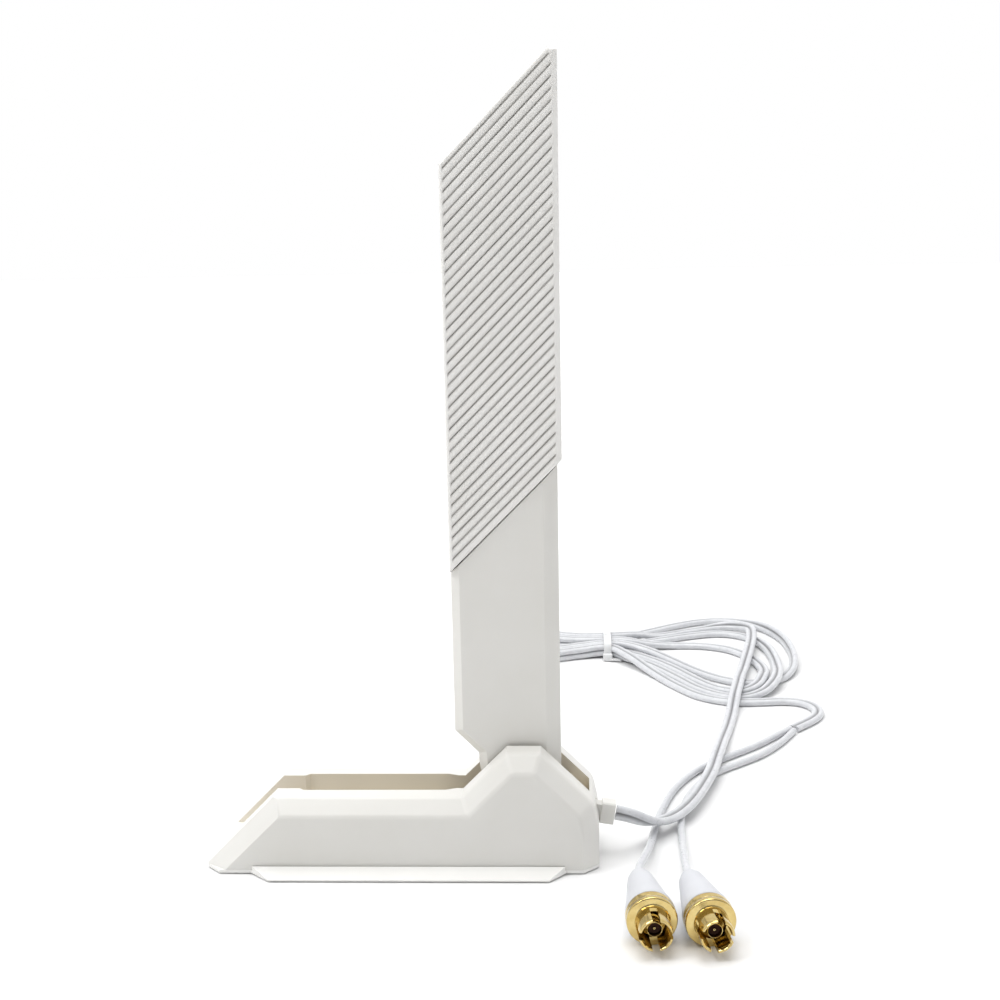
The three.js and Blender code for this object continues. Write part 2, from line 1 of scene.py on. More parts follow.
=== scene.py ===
"""A folding desktop Wi-Fi antenna: white ribbed blade, weighted base, twin coax lead and two gold plugs.

The part's own frame is used: +Z up, +X towards the hinge and the lead, -Y the front. The scene is in
metres. Sections that say so give their sizes in millimetres, and MM turns those into metres.
"""

import math

import bmesh
import bpy
from mathutils import Matrix, Vector


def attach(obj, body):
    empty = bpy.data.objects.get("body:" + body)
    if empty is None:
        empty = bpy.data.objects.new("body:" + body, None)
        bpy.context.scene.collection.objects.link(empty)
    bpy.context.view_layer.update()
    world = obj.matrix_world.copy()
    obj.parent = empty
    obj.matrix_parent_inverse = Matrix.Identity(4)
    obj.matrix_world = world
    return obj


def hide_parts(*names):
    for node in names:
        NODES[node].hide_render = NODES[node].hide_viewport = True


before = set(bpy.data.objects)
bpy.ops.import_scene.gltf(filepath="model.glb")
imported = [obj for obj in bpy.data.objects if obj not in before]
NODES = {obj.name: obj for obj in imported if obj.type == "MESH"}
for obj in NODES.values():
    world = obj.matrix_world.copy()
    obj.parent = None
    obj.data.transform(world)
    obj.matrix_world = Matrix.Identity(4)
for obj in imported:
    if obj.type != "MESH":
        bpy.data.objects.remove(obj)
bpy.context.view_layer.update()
MM = 0.001


# ---------------------------------------------------------------- camera
CAMERA_PLACE = (0.04643, -0.37660, 0.17433)
CAMERA_YAW = -0.0507  # radians, as are the next two
CAMERA_PITCH = 0.2023
CAMERA_ROLL = -0.0208
LENS_MM = 53.82
SENSOR_MM = 36


def make_camera():
    """The camera looks along +Y, turned by yaw, tipped down by pitch and rolled about its own axis."""
    yaw, pitch, roll = CAMERA_YAW, CAMERA_PITCH, CAMERA_ROLL
    ahead = Vector(
        (math.sin(yaw) * math.cos(pitch), math.cos(yaw) * math.cos(pitch), -math.sin(pitch))
    )
    level = Vector((math.cos(yaw), -math.sin(yaw), 0))
    above = level.cross(ahead)
    right = level * math.cos(roll) + above * math.sin(roll)
    up = above * math.cos(roll) - level * math.sin(roll)
    data = bpy.data.cameras.new("camera")
    data.lens = LENS_MM
    data.sensor_width = SENSOR_MM
    data.clip_start = 0.01
    data.clip_end = 20
    camera = bpy.data.objects.new("camera", data)
    bpy.context.scene.collection.objects.link(camera)
    turn = Matrix((right, up, -ahead)).transposed().to_4x4()
    camera.matrix_world = Matrix.Translation(CAMERA_PLACE) @ turn
    bpy.context.scene.camera = camera


make_camera()


# ---------------------------------------------------------------- floor, world and lamps
FLOOR_HALF = 3.0
FLOOR_WHITE = (0.85, 0.85, 0.85)
WORLD_STRENGTH = 1.0
FRONT_GREY = (0.27, 0.27, 0.27)  # the room behind the camera, against 1 behind the object
LAMPS = [  # name, place, aim, size, power and spread in degrees
    ("key", (-0.65, -0.25, 0.95), (0.03, 0.0, 0.08), 0.45, 4.2, 180),
    ("top", (0.0, 0.1, 1.2), (0.05, 0.05, 0), 0.8, 6.8, 180),
    ("back", (0.1, 2.3, 1.5), (0.1, 2.4, 0), 2.4, 22.0, 100),
]


def make_floor():
    """A plain floor of matt white paper."""
    mesh = bpy.data.meshes.new("floor")
    half = FLOOR_HALF
    corners = [(-half, -half, 0), (half, -half, 0), (half, half, 0), (-half, half, 0)]
    mesh.from_pydata(corners, [], [(0, 1, 2, 3)])
    floor = bpy.data.objects.new("floor", mesh)
    bpy.context.scene.collection.objects.link(floor)
    paper = bpy.data.materials.new("floor_paper")
    paper.use_nodes = True
    shader = paper.node_tree.nodes["Principled BSDF"]
    shader.inputs["Base Color"].default_value = (*FLOOR_WHITE, 1)
    shader.inputs["Roughness"].default_value = 0.9
    shader.inputs["Specular IOR Level"].default_value = 0.1
    mesh.materials.append(paper)


def make_world():
    """A bright studio that is white behind the object and fades to grey behind the camera."""
    world = bpy.data.worlds.new("studio")
    world.use_nodes = True
    tree = world.node_tree
    background = tree.nodes["Background"]
    background.inputs["Strength"].default_value = WORLD_STRENGTH
    place = tree.nodes.new("ShaderNodeTexCoord")
    split = tree.nodes.new("ShaderNodeSeparateXYZ")
    ahead = tree.nodes.new("ShaderNodeMapRange")
    ahead.inputs["From Min"].default_value = -1
    ahead.inputs["From Max"].default_value = 1
    ramp = tree.nodes.new("ShaderNodeValToRGB")
    grey, white = ramp.color_ramp.elements
    grey.position = 0.0
    grey.color = (*FRONT_GREY, 1)
    white.position = 0.5
    white.color = (1, 1, 1, 1)
    tree.links.new(place.outputs["Generated"], split.inputs["Vector"])
    tree.links.new(split.outputs["Y"], ahead.inputs["Value"])
    tree.links.new(ahead.outputs["Result"], ramp.inputs["Fac"])
    tree.links.new(ramp.outputs["Color"], background.inputs["Color"])
    bpy.context.scene.world = world
    bpy.context.scene.view_settings.view_transform = "Standard"


def make_lamp(name, place, aim, size, power, spread):
    """A square lamp that shines within the spread."""
    data = bpy.data.lights.new(name, "AREA")
    data.shape = "SQUARE"
    data.size = size
    data.energy = power
    data.spread = math.radians(spread)
    lamp = bpy.data.objects.new(name, data)
    bpy.context.scene.collection.objects.link(lamp)
    lamp.location = place
    lamp.rotation_mode = "QUATERNION"
    lamp.rotation_quaternion = (Vector(aim) - Vector(place)).to_track_quat("-Z", "Y")


make_floor()
make_world()
for lamp in LAMPS:
    make_lamp(*lamp)


# ---------------------------------------------------------------- materials
# Scales of patterns are in cells per metre, depths of bumps in metres.
MOTTLE_SCALE = 45
GLOSS_SCALE = 160
LIGHT_REACH = (0.0012, 0.0011, 0.001)  # how far red, green and blue light spread inside a plastic


def new_material(name, metallic=0.0):
    """A material with its node tree and its shader."""
    material = bpy.data.materials.new(name)
    material.use_nodes = True
    shader = material.node_tree.nodes["Principled BSDF"]
    shader.inputs["Metallic"].default_value = metallic
    return material, material.node_tree, shader


def noise(tree, scale, detail=2.0, roughness=0.5):
    """A noise pattern in the piece's own coordinates."""
    place = tree.nodes.get("place") or tree.nodes.new("ShaderNodeTexCoord")
    place.name = "place"
    texture = tree.nodes.new("ShaderNodeTexNoise")
    texture.inputs["Scale"].default_value = scale
    texture.inputs["Detail"].default_value = detail
    texture.inputs["Roughness"].default_value = roughness
    tree.links.new(place.outputs["Object"], texture.inputs["Vector"])
    return texture.outputs["Fac"]


def varied_colour(tree, shader, dark, light, scale):
    """The colour wanders between the two given ones."""
    ramp = tree.nodes.new("ShaderNodeValToRGB")
    first, last = ramp.color_ramp.elements
    first.position = 0.32
    first.color = (*dark, 1)
    last.position = 0.68
    last.color = (*light, 1)
    tree.links.new(noise(tree, scale, 3.0), ramp.inputs["Fac"])
    tree.links.new(ramp.outputs["Color"], shader.inputs["Base Color"])


def varied_roughness(tree, shader, low, high, scale):
    """The gloss wanders between two roughnesses."""
    spread = tree.nodes.new("ShaderNodeMapRange")
    spread.inputs["From Min"].default_value = 0.3
    spread.inputs["From Max"].default_value = 0.7
    spread.inputs["To Min"].default_value = low
    spread.inputs["To Max"].default_value = high
    tree.links.new(noise(tree, scale, 4.0), spread.inputs["Value"])
    tree.links.new(spread.outputs["Result"], shader.inputs["Roughness"])


def bumped(tree, shader, scale, distance, strength=0.3):
    """Fine unevenness of the surface, as a bump."""
    bump = tree.nodes.new("ShaderNodeBump")
    bump.inputs["Strength"].default_value = strength
    bump.inputs["Distance"].default_value = distance
    tree.links.new(noise(tree, scale, 2.0), bump.inputs["Height"])
    tree.links.new(bump.outputs["Normal"], shader.inputs["Normal"])


def moulded_plastic(name, dark, light, rough, grain=4500, depth=0.00004, soft=0.06):
    """Satin moulded plastic: faint mottling, uneven gloss and a very fine spark-eroded grain."""
    material, tree, shader = new_material(name)
    varied_colour(tree, shader, dark, light, MOTTLE_SCALE)
    varied_roughness(tree, shader, rough - 0.05, rough + 0.06, GLOSS_SCALE)
    bumped(tree, shader, grain, depth)
    shader.inputs["IOR"].default_value = 1.5
    shader.inputs["Subsurface Weight"].default_value = soft
    shader.inputs["Subsurface Radius"].default_value = LIGHT_REACH
    shader.inputs["Subsurface Scale"].default_value = 1.0
    return material


def shade_by_depth(material, painted_groove_shade):
    """Paints shade into the colour: darkens it where the mesh's `depth` attribute says that the surface
    is deep in a groove.
    """
    tree = material.node_tree
    shader = tree.nodes["Principled BSDF"]
    surface = shader.inputs["Base Color"].links[0].from_socket
    depth = tree.nodes.new("ShaderNodeAttribute")
    depth.attribute_name = "depth"
    mix = tree.nodes.new("ShaderNodeMix")
    mix.data_type = "RGBA"
    mix.inputs["B"].default_value = (*painted_groove_shade, 1)
    tree.links.new(depth.outputs["Fac"], mix.inputs["Factor"])
    tree.links.new(surface, mix.inputs["A"])
    tree.links.new(mix.outputs["Result"], shader.inputs["Base Color"])


def tint_along_x(material, tints):
    """Multiplies the colour by a tint that changes slowly along X. A stop is (x, tint)."""
    tree = material.node_tree
    shader = tree.nodes["Principled BSDF"]
    surface = shader.inputs["Base Color"].links[0].from_socket
    split = tree.nodes.new("ShaderNodeSeparateXYZ")
    tree.links.new(tree.nodes["place"].outputs["Object"], split.inputs["Vector"])
    first = tints[0][0]
    last = tints[-1][0]
    along = tree.nodes.new("ShaderNodeMapRange")
    along.inputs["From Min"].default_value = first
    along.inputs["From Max"].default_value = last
    tree.links.new(split.outputs["X"], along.inputs["Value"])
    ramp = tree.nodes.new("ShaderNodeValToRGB")
    for _ in tints[2:]:
        ramp.color_ramp.elements.new(0.5)
    for stop, (x, tint) in zip(ramp.color_ramp.elements, tints):
        stop.position = (x - first) / (last - first)
        stop.color = (*tint, 1)
    tree.links.new(along.outputs["Result"], ramp.inputs["Fac"])
    mix = tree.nodes.new("ShaderNodeMix")
    mix.data_type = "RGBA"
    mix.blend_type = "MULTIPLY"
    mix.inputs["Factor"].default_value = 1.0
    tree.links.new(surface, mix.inputs["A"])
    tree.links.new(ramp.outputs["Color"], mix.inputs["B"])
    tree.links.new(mix.outputs["Result"], shader.inputs["Base Color"])


def cable_jacket(name, dark, light):
    """Soft glossy PVC, a little uneven from extrusion."""
    material, tree, shader = new_material(name)
    varied_colour(tree, shader, dark, light, 400)
    varied_roughness(tree, shader, 0.26, 0.38, 900)
    bumped(tree, shader, 1500, 0.00003, 0.15)
    shader.inputs["IOR"].default_value = 1.52
    shader.inputs["Coat Weight"].default_value = 0.15
    shader.inputs["Coat Roughness"].default_value = 0.2
    shader.inputs["Subsurface Weight"].default_value = 0.1
    shader.inputs["Subsurface Radius"].default_value = (0.001, 0.001, 0.001)
    shader.inputs["Subsurface Scale"].default_value = 1.0
    return material


def metal(name, dark, light, low, high, grain=2500, depth=0.00002):
    """Plated or bare metal with uneven polish and fine tool marks."""
    material, tree, shader = new_material(name, metallic=1.0)
    varied_colour(tree, shader, dark, light, 500)
    varied_roughness(tree, shader, low, high, 900)
    bumped(tree, shader, grain, depth, 0.2)
    return material


WHITE_PLASTIC = moulded_plastic("white_plastic", (0.70, 0.69, 0.655), (0.73, 0.72, 0.69), 0.42)
# painted light: the bottom cover is lighter than the white plastic of the shell, so that its sloped skirt
# looks lit from above
BOTTOM_COVER_PAINTED_LIGHT = moulded_plastic("bottom_cover_painted_light", (0.82, 0.815, 0.79), (0.85, 0.845, 0.82), 0.42)
# painted light and shade: the trough's walls and floor are warmer and lighter than the white plastic,
# standing in for the warm light bounced inside the trough
TROUGH_PAINTED_LIGHT_AND_SHADE = moulded_plastic("trough_painted_light_and_shade", (0.80, 0.765, 0.69), (0.84, 0.805, 0.73), 0.5)
TROUGH_SHADE_STOPS = [  # painted shade: the trough's colour grows darker and warmer towards the hinge, darkest just short of it
    (-0.046, (1.0, 1.0, 1.0)),
    (-0.034, (0.97, 0.95, 0.92)),
    (0.010, (0.93, 0.91, 0.86)),
    (0.030, (0.52, 0.47, 0.4)),
    (0.048, (0.85, 0.82, 0.76)),
]
tint_along_x(TROUGH_PAINTED_LIGHT_AND_SHADE, TROUGH_SHADE_STOPS)
# painted light and shade: the ribbed cover is lighter than the white plastic of the stem and base,
# standing in for its crest highlights, and its grooves are darkened with painted shade
RIBBED_PAINTED_LIGHT_AND_SHADE = moulded_plastic("ribbed_plastic", (0.80, 0.79, 0.765), (0.84, 0.83, 0.81), 0.34)
shade_by_depth(RIBBED_PAINTED_LIGHT_AND_SHADE, (0.33, 0.32, 0.3))
TIE_PLASTIC = moulded_plastic(
    "tie_plastic", (0.66, 0.67, 0.675), (0.73, 0.735, 0.74), 0.32, grain=1800, soft=0.2
)
BOOT_RUBBER = moulded_plastic(
    "boot_rubber", (0.55, 0.56, 0.59), (0.61, 0.62, 0.65), 0.42, grain=2600, soft=0.1
)
ACETAL = moulded_plastic("acetal", (0.66, 0.64, 0.58), (0.72, 0.7, 0.64), 0.35)
GREY_RUBBER = moulded_plastic(
    "grey_rubber", (0.035, 0.035, 0.038), (0.06, 0.06, 0.065), 0.78, grain=1500, depth=0.0001, soft=0.0
)
CIRCUIT_BOARD = moulded_plastic(
    "circuit_board", (0.012, 0.09, 0.035), (0.02, 0.13, 0.05), 0.35, grain=900, soft=0.0
)
INSULATOR = moulded_plastic(
    "dark_insulator", (0.022, 0.008, 0.005), (0.04, 0.014, 0.009), 0.6, grain=2000, soft=0.0
)
INSULATOR.node_tree.nodes["Principled BSDF"].inputs["Specular IOR Level"].default_value = 0.12
JACKET = cable_jacket("cable_jacket", (0.58, 0.59, 0.615), (0.65, 0.66, 0.68))
# painted shade: the crease of the web between the two cores of the lead is darkened
shade_by_depth(JACKET, (0.25, 0.25, 0.26))
GOLD = metal("gold_plate", (0.58, 0.43, 0.16), (0.70, 0.55, 0.24), 0.08, 0.15)
STEEL = metal("zinc_steel", (0.42, 0.43, 0.44), (0.55, 0.56, 0.57), 0.28, 0.42)


# ---------------------------------------------------------------- mesh helpers
WELD = 0.000002  # points closer than this are one point
FLAT_ANGLE = 0.6  # degrees; faces that meet flatter than this are one face
EDGE_ANGLE = 12  # degrees; edges flatter than this stay as they are
CRISP = 40  # degrees; edges sharper than this look sharp
SKIRT_TOP = 0.0014  # edges of the base below this height belong to its skirt


def new_object(name, mesh, material):
    """A piece in the scene with one material."""
    piece = bpy.data.objects.new(name, mesh)
    bpy.context.scene.collection.objects.link(piece)
    mesh.materials.clear()
    mesh.materials.append(material)
    return piece


def mesh_from(name, points, faces):
    """A mesh of these points and faces, with its normals outwards."""
    mesh = bpy.data.meshes.new(name)
    mesh.from_pydata([tuple(point) for point in points], [], faces)
    mesh.validate()
    shape = bmesh.new()
    shape.from_mesh(mesh)
    bmesh.ops.recalc_face_normals(shape, faces=shape.faces)
    shape.to_mesh(mesh)
    shape.free()
    return mesh


def box_mesh(name, low, high):
    """A box between two corners, in millimetres."""
    corners = [(x, y, z) for x in (low[0], high[0]) for y in (low[1], high[1]) for z in (low[2], high[2])]
    points = [(x * MM, y * MM, z * MM) for x, y, z in corners]
    faces = [(0, 1, 3, 2), (4, 6, 7, 5), (0, 4, 5, 1), (2, 3, 7, 6), (0, 2, 6, 4), (1, 5, 7, 3)]
    return mesh_from(name, points, faces)


def paint_depth(mesh, depths):
    """Stores how deep in a groove each point is, for shade_by_depth."""
    layer = mesh.attributes.new("depth", "FLOAT", "POINT")
    for value, depth in zip(layer.data, depths):
        value.value = depth


def smooth(mesh, degrees):
    """Smooth shading, with the edges sharper than the angle kept crisp."""
    for polygon in mesh.polygons:
        polygon.use_smooth = True
    mesh.set_sharp_from_angle(angle=math.radians(degrees))


def apply_modifiers(piece):
    """Gives the piece the mesh that its modifiers make of it, and removes them."""
    bpy.context.view_layer.update()
    graph = bpy.context.evaluated_depsgraph_get()
    done = bpy.data.meshes.new_from_object(piece.evaluated_get(graph))
    piece.modifiers.clear()
    piece.data = done


def cut(piece, cutter_mesh):
    """Takes the cutter's solid away from the piece."""
    cutter = bpy.data.objects.new("cutter", cutter_mesh)
    bpy.context.scene.collection.objects.link(cutter)
    taking = piece.modifiers.new("cut", "BOOLEAN")
    taking.operation = "DIFFERENCE"
    taking.solver = "EXACT"
    taking.object = cutter
    apply_modifiers(piece)
    bpy.data.objects.remove(cutter)


def bevelled(piece, width, segments=2, degrees=25):
    """Rounds every edge sharper than the angle, then applies the modifiers."""
    bevel = piece.modifiers.new("edges", "BEVEL")
    bevel.width = width
    bevel.segments = segments
    bevel.limit_method = "ANGLE"
    bevel.angle_limit = math.radians(degrees)
    bevel.miter_outer = "MITER_ARC"
    bevel.harden_normals = False
    weighted = piece.modifiers.new("normals", "WEIGHTED_NORMAL")
    weighted.keep_sharp = True
    smooth(piece.data, 89)
    apply_modifiers(piece)


def round_outside(shape, from_y, width):
    """Rounds the long edges of the outside, those no closer to the middle plane than from_y."""
    edges = [
        edge
        for edge in shape.edges
        if len(edge.link_faces) == 2
        and edge.calc_face_angle(0) > math.radians(EDGE_ANGLE)
        and all(abs(vertex.co.y) > from_y and vertex.co.z > SKIRT_TOP for vertex in edge.verts)
    ]
    bmesh.ops.bevel(
        shape,
        geom=edges,
        offset=width,
        segments=4,
        profile=0.5,
        affect="EDGES",
        clamp_overlap=False,
    )


def moulded_from(node, material, width, outside=None):
    """The CAD solid's own shape with its flat faces made whole and all its edges moulded round."""
    shape = bmesh.new()
    shape.from_mesh(NODES[node].data)
    bmesh.ops.remove_doubles(shape, verts=shape.verts, dist=WELD)
    bmesh.ops.dissolve_limit(
        shape, angle_limit=math.radians(FLAT_ANGLE), verts=shape.verts, edges=shape.edges
    )
    bmesh.ops.recalc_face_normals(shape, faces=shape.faces)
    if outside:
        round_outside(shape, *outside)
    mesh = bpy.data.meshes.new(f"{node}_moulded")
    shape.to_mesh(mesh)
    shape.free()
    piece = new_object(f"{node}_moulded", mesh, material)
    bevelled(piece, width)
    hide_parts(node)
    return piece


def settle(piece, body):
    """Lets the piece ride on its body."""
    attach(piece, body)
    return piece


# ---------------------------------------------------------------- the lead
CORE = 0.0021  # across one core; the lead is two of them side by side

# Points along the lead: x, y, z in metres and the tilt in degrees, 0 flat and 90 on edge.
LEAD_TO_HANK = [
    (0.0567, 0.0000, 0.0112, 90), (0.0599, 0.0001, 0.0105, 80), (0.0630, 0.0021, 0.0085, 55),
    (0.0661, 0.0059, 0.0060, 28), (0.0690, 0.0098, 0.0043, 8), (0.0727, 0.0143, 0.0036, 0),
    (0.0759, 0.0192, 0.0035, 0), (0.0796, 0.0270, 0.0035, 0), (0.0836, 0.0385, 0.0034, 0),
    (0.0868, 0.0490, 0.0035, 0), (0.0891, 0.0595, 0.0035, 0), (0.0913, 0.0695, 0.0034, 0),
    (0.0934, 0.0805, 0.0021, 0), (0.0959, 0.0920, 0.0013, 0), (0.0986, 0.1050, 0.0018, 0),
    (0.0998, 0.1110, 0.0032, 0),
]
LEAD_OVER_HANK = [
    (0.1011, 0.1175, 0.0042, 0), (0.1026, 0.1250, 0.0042, 0), (0.1044, 0.1350, 0.0038, 0),
    (0.1068, 0.1470, 0.0026, 0), (0.1094, 0.1585, 0.0032, 0), (0.1120, 0.1710, 0.0036, 0),
    (0.1143, 0.1840, 0.0036, 6), (0.1152, 0.1930, 0.0039, 18), (0.1144, 0.2005, 0.0030, 40),
    (0.1108, 0.2053, 0.0022, 45), (0.1047, 0.2063, 0.0017, 25), (0.0970, 0.2036, 0.0012, 0),
    (0.0880, 0.1995, 0.0011, 0), (0.0780, 0.1946, 0.0012, 0), (0.0705, 0.1908, 0.0032, 0),
]
OUTER_TURN = [
    (0.0660, 0.1753, 0.0039, 0), (0.0740, 0.1710, 0.0028, 0), (0.0820, 0.1630, 0.0016, 0),
    (0.0900, 0.1516, 0.0011, 0), (0.0980, 0.1420, 0.0011, 0), (0.1060, 0.1372, 0.0011, 0),
    (0.1130, 0.1372, 0.0011, 0), (0.1198, 0.1415, 0.0011, 5), (0.1250, 0.1505, 0.0016, 35),
    (0.1276, 0.1630, 0.0021, 65), (0.1280, 0.1770, 0.0022, 75), (0.1264, 0.1910, 0.0021, 70),
    (0.1218, 0.2035, 0.0019, 45), (0.1145, 0.2125, 0.0014, 10), (0.1055, 0.2162, 0.0011, 0),
    (0.0960, 0.2144, 0.0011, 0), (0.0860, 0.2088, 0.0011, 0), (0.0765, 0.2018, 0.0011, 0),
    (0.0675, 0.1943, 0.0014, 0),
]
MIDDLE_TURN = [
    (0.0660, 0.1656, 0.0016, 0), (0.0740, 0.1583, 0.0011, 0), (0.0820, 0.1450, 0.0011, 0),
    (0.0900, 0.1305, 0.0011, 0), (0.0970, 0.1236, 0.0011, 0), (0.1045, 0.1216, 0.0011, 0),
    (0.1115, 0.1250, 0.0020, 0), (0.1163, 0.1326, 0.0033, 0), (0.1189, 0.1425, 0.0034, 8),
    (0.1200, 0.1540, 0.0024, 30), (0.1203, 0.1660, 0.0021, 45), (0.1193, 0.1780, 0.0018, 30),
    (0.1160, 0.1890, 0.0012, 5), (0.1100, 0.1958, 0.0011, 0), (0.1020, 0.1980, 0.0011, 0),
    (0.0920, 0.1953, 0.0011, 0), (0.0820, 0.1908, 0.0011, 0), (0.0720, 0.1862, 0.0011, 0),
    (0.0660, 0.1836, 0.0015, 0),
]
INNER_TURN = [
    (0.0660, 0.1719, 0.0016, 0), (0.0740, 0.1658, 0.0011, 0), (0.0820, 0.1546, 0.0011, 0),
    (0.0900, 0.1400, 0.0011, 0), (0.0970, 0.1304, 0.0011, 0), (0.1040, 0.1270, 0.0014, 0),
    (0.1096, 0.1298, 0.0026, 0), (0.1128, 0.1375, 0.0034, 0), (0.1147, 0.1490, 0.0020, 5),
    (0.1139, 0.1600, 0.0011, 0), (0.1100, 0.1705, 0.0011, 0), (0.1035, 0.1782, 0.0011, 0),
    (0.0945, 0.1820, 0.0011, 0), (0.0840, 0.1824, 0.0012, 0), (0.0750, 0.1810, 0.0022, 0),
    (0.0665, 0.1807, 0.0039, 0),
]
LAST_RUN = [
    (0.0660, 0.1620, 0.0038, 0), (0.0740, 0.1498, 0.0016, 0), (0.0820, 0.1345, 0.0011, 0),
    (0.0900, 0.1226, 0.0011, 0), (0.0980, 0.1176, 0.0011, 0), (0.1065, 0.1166, 0.0011, 0),
]
LEAD_FROM_HANK = [
    (0.1150, 0.1174, 0.0011, 0), (0.1182, 0.1175, 0.0011, 0), (0.1216, 0.1168, 0.0011, 0),
    (0.1249, 0.1146, 0.0011, 0), (0.1272, 0.1110, 0.0011, 0), (0.1277, 0.1065, 0.0011, 0),
    (0.1263, 0.1020, 0.0011, 0), (0.1234, 0.0976, 0.0011, 0), (0.1202, 0.0939, 0.0011, 0),
    (0.1172, 0.0906, 0.0011, 0),
]

# The two cores after the split, from the lead to the connectors.
CORE_LEFT = [
    (0.1161, 0.0908, 0.0011), (0.1105, 0.084, 0.0011), (0.1044, 0.0766, 0.0011),
    (0.0976, 0.0698, 0.0011), (0.091, 0.0636, 0.0011), (0.0839, 0.056, 0.0011),
    (0.0772, 0.045, 0.0011), (0.0729, 0.034, 0.0011), (0.07, 0.023, 0.0011),
    (0.0676, 0.0105, 0.0015), (0.0654, -0.004, 0.0029), (0.0634, -0.0145, 0.0047),
    (0.062, -0.0218, 0.0059), (0.06157, -0.0272, 0.0062),
]
CORE_RIGHT = [
    (0.117, 0.0887, 0.0011), (0.111, 0.0775, 0.0011), (0.1036, 0.0672, 0.0011),
    (0.096, 0.06, 0.0011), (0.0895, 0.054, 0.0011), (0.0835, 0.0455, 0.0011),
    (0.0792, 0.036, 0.0011), (0.0765, 0.026, 0.0011), (0.0752, 0.015, 0.0012),
    (0.0747, 0.004, 0.0018), (0.0742, -0.007, 0.0031), (0.0739, -0.0165, 0.0049),
    (0.07385, -0.023, 0.006), (0.07405, -0.0279, 0.0062),
]

# The hank's left end, behind the blade: folds on two tracks round one centre, from the tie and back.
TIE_X = 0.0585
TIE_COLUMNS = (0.1862, 0.1814, 0.1766, 0.1718)  # y of the strands in the tie, two layers high
LAYERS = (0.0011, 0.0033, 0.0055)
LEFT_LOOP_CENTRE = (0.0215, 0.1790)
LEFT_LOOP_RADIUS = 0.0122
TRACK_STEP = 0.0046  # the outer track of the hidden loop is this much wider than the inner one
LOOP_FROM = 70  # degrees; where a fold's arc starts
LOOP_SWEEP = 220
RUN_LIFTS = (0.0, 0.0002, 0.00085)  # how the strands rise between the arc and the tie
UPPER_RUN = ((0.048, 0.1830), (0.038, 0.1863))  # x and y on the inner track, from the tie
UPPER_SPREAD = 0.0053  # the outer track is this much further out
LOWER_RUN = ((0.038, 0.1718), (0.048, 0.1753))  # the same on the way back to the tie
LOWER_SPREAD = (0.005, 0.0049)
FOLD_POINTS = 9
STEP = 0.0011  # between the sections of a cord
FINE_STEP = 0.0005  # between the points that a curve is worked out at
KINK_PASSES = 4
WEB_ANGLE = 10  # degrees; where the web between the two cores meets a core
CORE_POINTS = 10
WEB_SHADE = 3.2  # how narrow the painted shade along the web between the cores is
TUBE_CRISP = 70  # degrees; only a cord's cut ends look sharp


def hidden_loop(start, end, heights):
    """One fold of the hank behind the blade, from track `start` above to track `end` below."""
    run_in = [(TIE_X, TIE_COLUMNS[1 - start])]
    run_in += [(x, y + UPPER_SPREAD * start) for x, y in UPPER_RUN]
    run_out = [(x, y - spread * end) for (x, y), spread in zip(LOWER_RUN, LOWER_SPREAD)]
    run_out.append((TIE_X, TIE_COLUMNS[2 + end]))
    points = [(x, y, heights[0] + lift, 0) for (x, y), lift in zip(run_in, reversed(RUN_LIFTS))]
    for i, z in enumerate(heights):
        share = i / (len(heights) - 1)
        turn = math.radians(LOOP_FROM + LOOP_SWEEP * share)
        drift = min(max((share - 0.2) / 0.6, 0), 1)
        track = start + (end - start) * drift * drift * (3 - 2 * drift)
        radius = LEFT_LOOP_RADIUS + TRACK_STEP * track
        x = LEFT_LOOP_CENTRE[0] + radius * math.cos(turn)
        y = LEFT_LOOP_CENTRE[1] + radius * math.sin(turn)
        points.append((x, y, z, 0))
    points += [(x, y, heights[-1] + lift, 0) for (x, y), lift in zip(run_out, RUN_LIFTS)]
    return points


def span(a, b, c, d):
    """Points from b up to c on the centripetal curve through all four."""
    t1 = (b - a).xyz.length ** 0.5
    t2 = t1 + (c - b).xyz.length ** 0.5
    t3 = t2 + (d - c).xyz.length ** 0.5
    pieces = max(2, int((c - b).xyz.length / FINE_STEP))
    points = []
    for k in range(pieces):
        u = t1 + (t2 - t1) * k / pieces
        ab = a.lerp(b, u / t1)
        bc = b.lerp(c, (u - t1) / (t2 - t1))
        cd = c.lerp(d, (u - t2) / (t3 - t2))
        abc = ab.lerp(bc, u / t2)
        bcd = bc.lerp(cd, (u - t1) / (t3 - t1))
        points.append(abc.lerp(bcd, (u - t1) / (t2 - t1)))
    return points


def evenly_spaced(points, step):
    """Points along the same line, all about a step apart."""
    along = [0.0]
    for a, b in zip(points, points[1:]):
        along.append(along[-1] + (b - a).xyz.length)
    count = round(along[-1] / step)
    even = []
    j = 0
    for i in range(count + 1):
        want = along[-1] * i / count
        while j < len(along) - 2 and along[j + 1] < want:
            j += 1
        share = (want - along[j]) / (along[j + 1] - along[j])
        even.append(points[j].lerp(points[j + 1], min(max(share, 0), 1)))
    return even


def smooth_route(points, step):
    """A smooth curve through the points, as points along it a step apart, without small kinks."""
    knots = [Vector(point) for point in points]
    knots = [2 * knots[0] - knots[1], *knots, 2 * knots[-1] - knots[-2]]
    dense = []
    for a, b, c, d in zip(knots, knots[1:], knots[2:], knots[3:]):
        dense += span(a, b, c, d)
    dense.append(knots[-2])
    route = evenly_spaced(dense, step)
    for _ in range(KINK_PASSES):
        inner = [(a + 2 * b + c) / 4 for a, b, c in zip(route, route[1:], route[2:])]
        route = [route[0], *inner, route[-1]]
    return route


